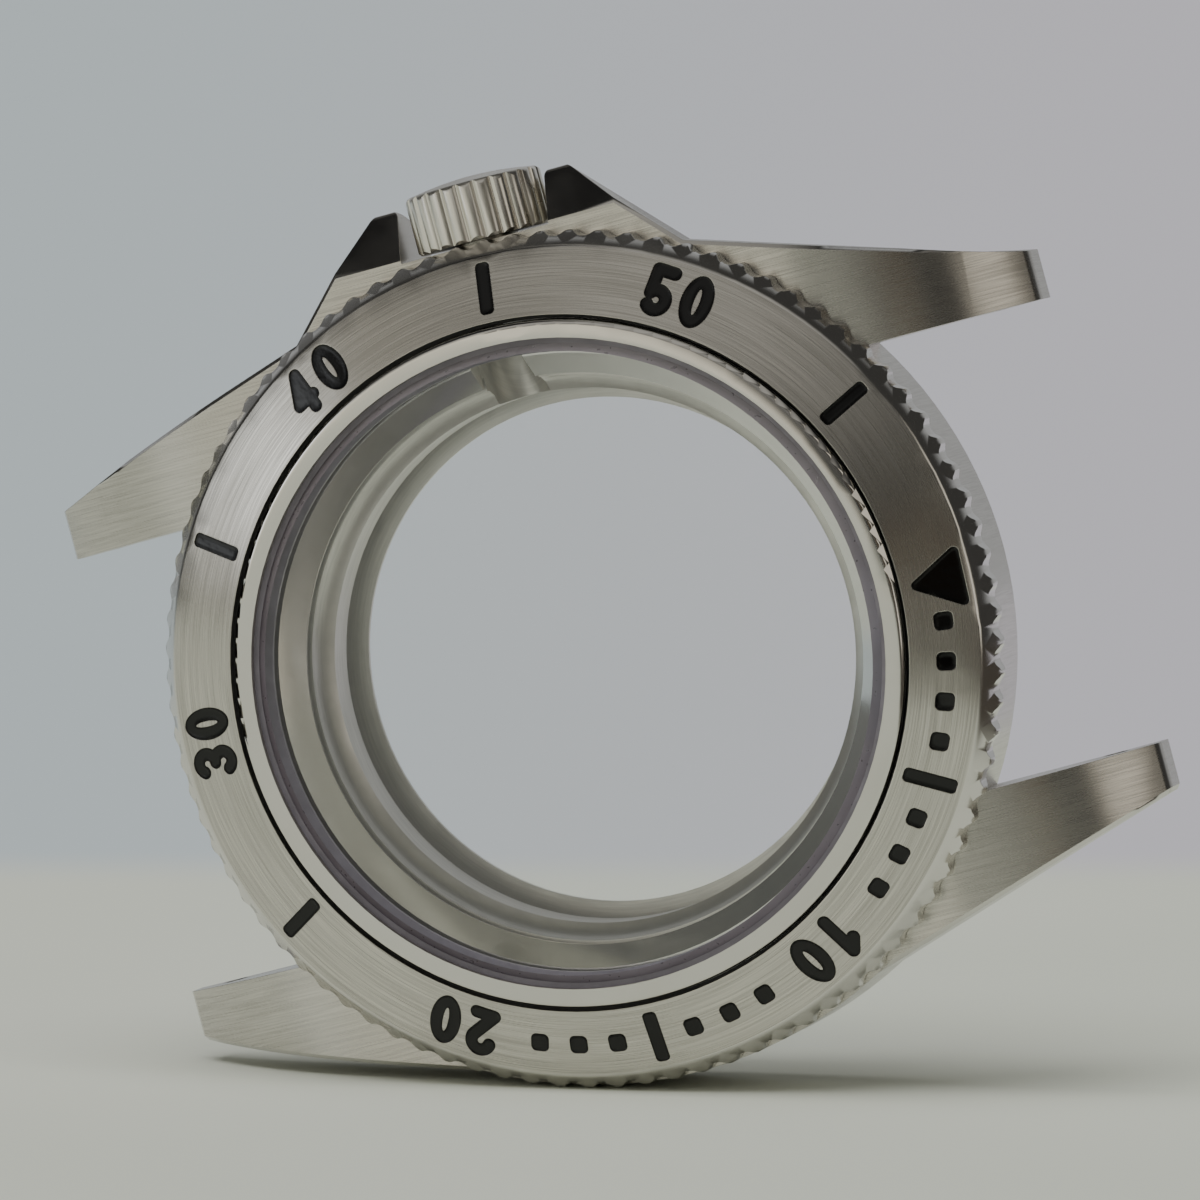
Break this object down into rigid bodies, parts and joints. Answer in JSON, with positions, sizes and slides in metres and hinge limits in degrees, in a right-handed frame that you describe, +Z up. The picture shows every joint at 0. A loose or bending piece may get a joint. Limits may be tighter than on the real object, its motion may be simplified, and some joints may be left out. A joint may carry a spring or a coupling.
{
  "type": "watch case",
  "caption": "Empty steel diver's watch case with a turning bezel, screw-down crown, lugs, crystal and a screw-in glass back, standing on edge.",
  "frame": {"origin": "where the dial axis meets the stem axis, which is also the middle of the movement bore", "axes": "+Y along the dial axis towards the back, so the crystal faces -Y; +Z up; the crown's axis leans 15.4 degrees from +Z towards -X"},
  "size_m": [0.0555, 0.0111, 0.0443],
  "materials": {
    "brushed_case_steel": "fine satin brushing with polished bevels",
    "bezel_steel": "brushed round the axis, polished wall and flutes",
    "black_enamel": "glossy black fill",
    "polished_steel": "polished",
    "spring_steel": "bright spring steel",
    "satin_inner_steel": "satin",
    "crystal_glass": "clear with a bluish coating",
    "black_rubber": "matt black",
    "clear_nylon": "translucent grey",
    "slip_polymer": "smooth pale polymer"
  },
  "bodies": {
    "case": {"mid_case": "brushed_case_steel", "bezel_wire": "spring_steel", "click_spring": "spring_steel", "crystal": "crystal_glass", "crystal_gasket": "clear_nylon", "rehaut_ring": "polished_steel", "movement_holder": "satin_inner_steel", "crown_tube": "satin_inner_steel", "tube_seal": "black_rubber", "cover_seal": "black_rubber"},
    "bezel": {"bezel_ring": "bezel_steel", "bezel_numeral_enamel": "black_enamel", "bezel_bar_enamel": "black_enamel", "bezel_dot_enamel": "black_enamel", "bezel_triangle_enamel": "black_enamel", "bezel_seal": "black_rubber"},
    "crown_carrier": {"crown_washer": "slip_polymer", "crown_spring": "spring_steel"},
    "crown": {"crown_cap": "polished_steel", "crown_post": "satin_inner_steel", "crown_seal": "black_rubber"},
    "back_cover": {"cover_ring": "satin_inner_steel", "back_glass": "crystal_glass", "back_glass_seal": "clear_nylon"}
  },
  "joints": [
    {"name": "bezel_turn", "type": "hinge", "parent": "case", "child": "bezel", "pos_m": [0, 0, 0], "axis": [0, -1, 0], "continuous": true},
    {"name": "crown_out", "type": "slide", "parent": "case", "child": "crown_carrier", "axis": [-0.2656, 0, 0.9641], "range_m": [0, 0.002]},
    {"name": "crown_turn", "type": "hinge", "parent": "crown_carrier", "child": "crown", "pos_m": [0, 0, 0], "axis": [-0.2656, 0, 0.9641], "continuous": true},
    {"name": "cover_out", "type": "slide", "parent": "case", "child": "back_cover", "axis": [0, 1, 0], "range_m": [0, 0.015]}
  ]
}
